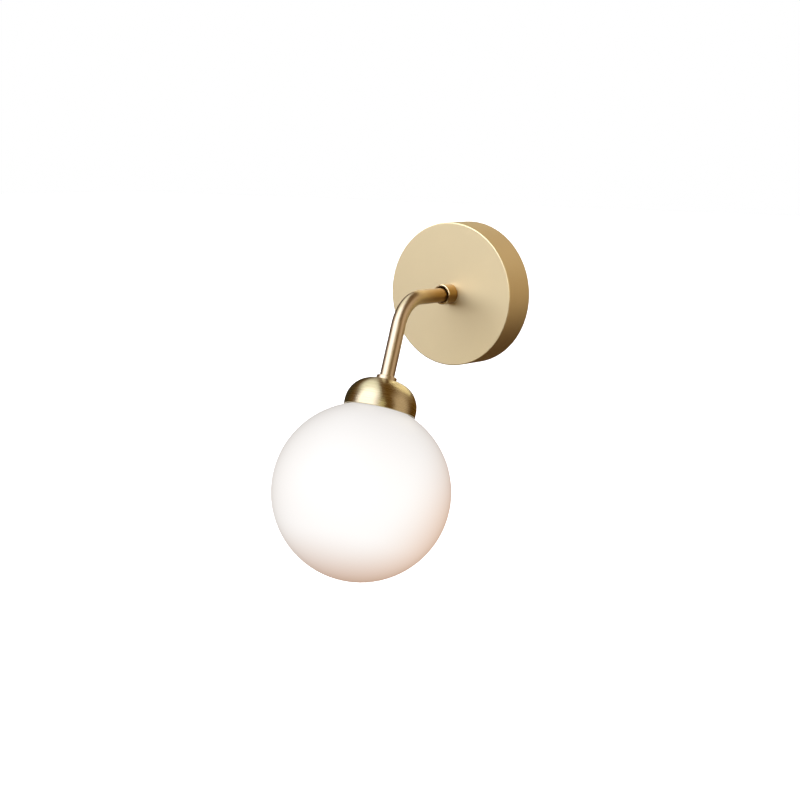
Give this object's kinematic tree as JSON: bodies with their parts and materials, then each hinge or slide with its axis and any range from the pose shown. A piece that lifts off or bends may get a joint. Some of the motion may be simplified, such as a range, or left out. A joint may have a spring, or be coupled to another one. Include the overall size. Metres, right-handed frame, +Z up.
{
  "type": "globe wall sconce",
  "caption": "Wall sconce with a round canopy, a bent arm, a domed cap and an opal glass globe that screws into a gallery round a plug-in lamp.",
  "frame": {"origin": "centre of the wall plate's wall face, where the wall slots are centred", "axes": "+Z up, +Y into the wall, -Y out into the room, +X to the right of someone who faces the wall"},
  "size_m": [0.12, 0.1843, 0.2359],
  "materials": {
    "satin_brass": "satin champagne brass",
    "brushed_brass": "brushed round the axis",
    "zinc_steel": "zinc plated",
    "plain_brass": "turned",
    "tinned_copper": "tinned copper",
    "white_nylon": "translucent nylon",
    "black_bush": "moulded",
    "brown_lead": "silicone insulation",
    "blue_lead": "silicone insulation",
    "green_yellow_lead": "green with a yellow stripe",
    "ceramic_white": "unglazed",
    "contact_bronze": "spring bronze",
    "lamp_pin_metal": "bright",
    "lamp_white": "moulded",
    "lamp_frosted": "frosted cover, lit",
    "lamp_board_white": "ceramic board",
    "lamp_chip_yellow": "phosphor, lit",
    "seal_rubber": "silicone",
    "opal_glass": "opal, lit from inside"
  },
  "bodies": {
    "root": {"arm_tube": "satin_brass", "cap_ring": "satin_brass", "dome_cap": "brushed_brass", "wall_plate": "zinc_steel", "arm_bridge": "zinc_steel", "bridge_rivets": "zinc_steel", "terminal_fixing_screws": "zinc_steel", "earth_washer": "zinc_steel", "arm_lock_nuts": "zinc_steel", "arm_star_washer": "zinc_steel", "cap_star_washer": "zinc_steel", "cap_lock_nut": "zinc_steel", "gallery_lock_nut": "zinc_steel", "glass_gallery": "zinc_steel", "lampholder_strap": "zinc_steel", "lampholder_screws": "zinc_steel", "terminal_barrels": "plain_brass", "terminal_screws": "plain_brass", "earth_screw": "plain_brass", "earth_ring_tags": "tinned_copper", "arm_earth_tag": "tinned_copper", "terminal_block": "white_nylon", "wall_end_bush": "black_bush", "lamp_end_bush": "black_bush", "live_lead": "brown_lead", "neutral_lead": "blue_lead", "earth_lead": "green_yellow_lead", "arm_earth_lead": "green_yellow_lead", "lampholder": "ceramic_white", "lampholder_cover": "ceramic_white", "lampholder_contacts": "contact_bronze"},
    "canopy": {"canopy": "satin_brass", "collar": "satin_brass", "collar_grub_screw": "zinc_steel"},
    "lamp": {"lamp_base": "lamp_white", "lamp_pins": "lamp_pin_metal", "lamp_board": "lamp_board_white", "lamp_chips": "lamp_chip_yellow", "lamp_cover": "lamp_frosted"},
    "neck_seal": {"neck_seal": "seal_rubber"},
    "globe": {"glass_globe": "opal_glass"}
  },
  "joints": [
    {"name": "canopy_slide", "type": "slide", "parent": "root", "child": "canopy", "axis": [0, -1, 0], "range_m": [0, 0.022]},
    {"name": "lamp_pull", "type": "slide", "parent": "root", "child": "lamp", "axis": [0, -0.342, -0.9397], "range_m": [0, 0.02]},
    {"name": "globe_travel", "type": "slide", "parent": "root", "child": "neck_seal", "axis": [0, -0.342, -0.9397], "range_m": [0, 0.008]},
    {"name": "globe_turn", "type": "hinge", "parent": "neck_seal", "child": "globe", "pos_m": [0, -0.12433, -0.12592], "axis": [0, -0.342, -0.9397], "range_deg": [0, 720]}
  ],
  "couplings": [
    {"joint": "globe_travel", "follows": "globe_turn", "m_per_rad": 0.0006366}
  ]
}
